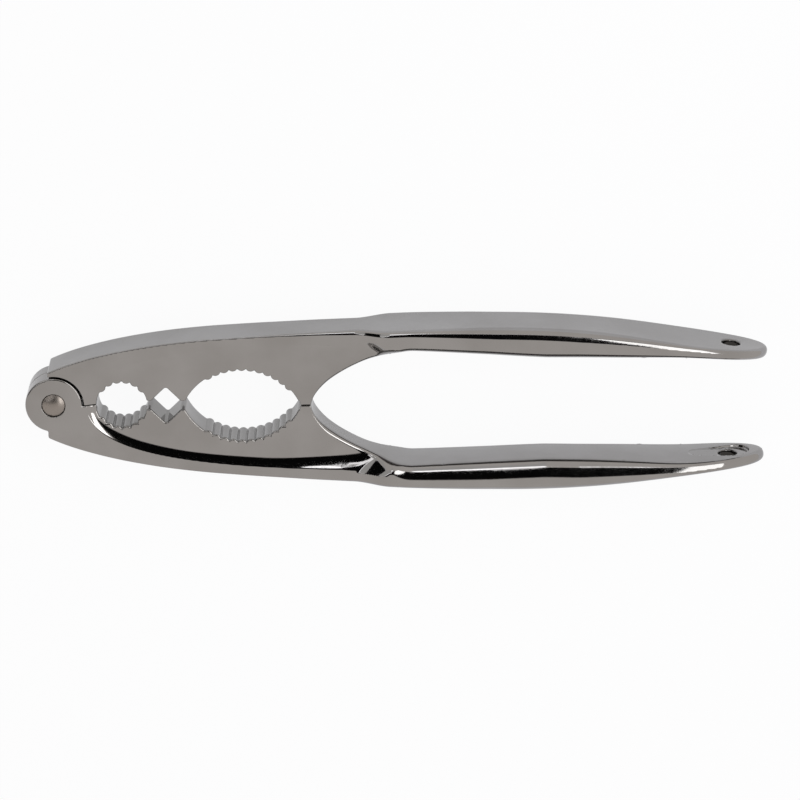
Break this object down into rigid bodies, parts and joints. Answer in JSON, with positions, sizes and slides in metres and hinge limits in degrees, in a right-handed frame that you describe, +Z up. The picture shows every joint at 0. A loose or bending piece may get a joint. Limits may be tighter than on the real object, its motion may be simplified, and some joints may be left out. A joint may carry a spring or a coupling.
{
  "type": "nutcracker",
  "caption": "Lever nutcracker of chromed die-cast metal: half-lapped hinge ears on a rivet, ribbed round, V and walnut seats, and broad rounded handles with hanging holes.",
  "frame": {"origin": "under the middle of the closed nutcracker, on the surface that it lies on", "axes": "+X from the hinge to the handle tips, +Y from the lower lever to the upper one, +Z up along the rivet: the closed tool lies on the sides of its handles"},
  "size_m": [0.1846, 0.0428, 0.0165],
  "materials": {
    "chromed_casting": "bright plate over a smooth casting, slightly worn",
    "rivet_steel": "bright domed steel, slightly duller than the levers"
  },
  "bodies": {
    "lower_arm": {"lower_lever": "chromed_casting", "hinge_rivet": "rivet_steel"},
    "upper_arm": {"upper_lever": "chromed_casting"}
  },
  "joints": [
    {"name": "hinge_open", "type": "hinge", "parent": "lower_arm", "child": "upper_arm", "pos_m": [-0.08526, 0, 0.00825], "axis": [0, 0, 1], "range_deg": [0, 155]}
  ]
}
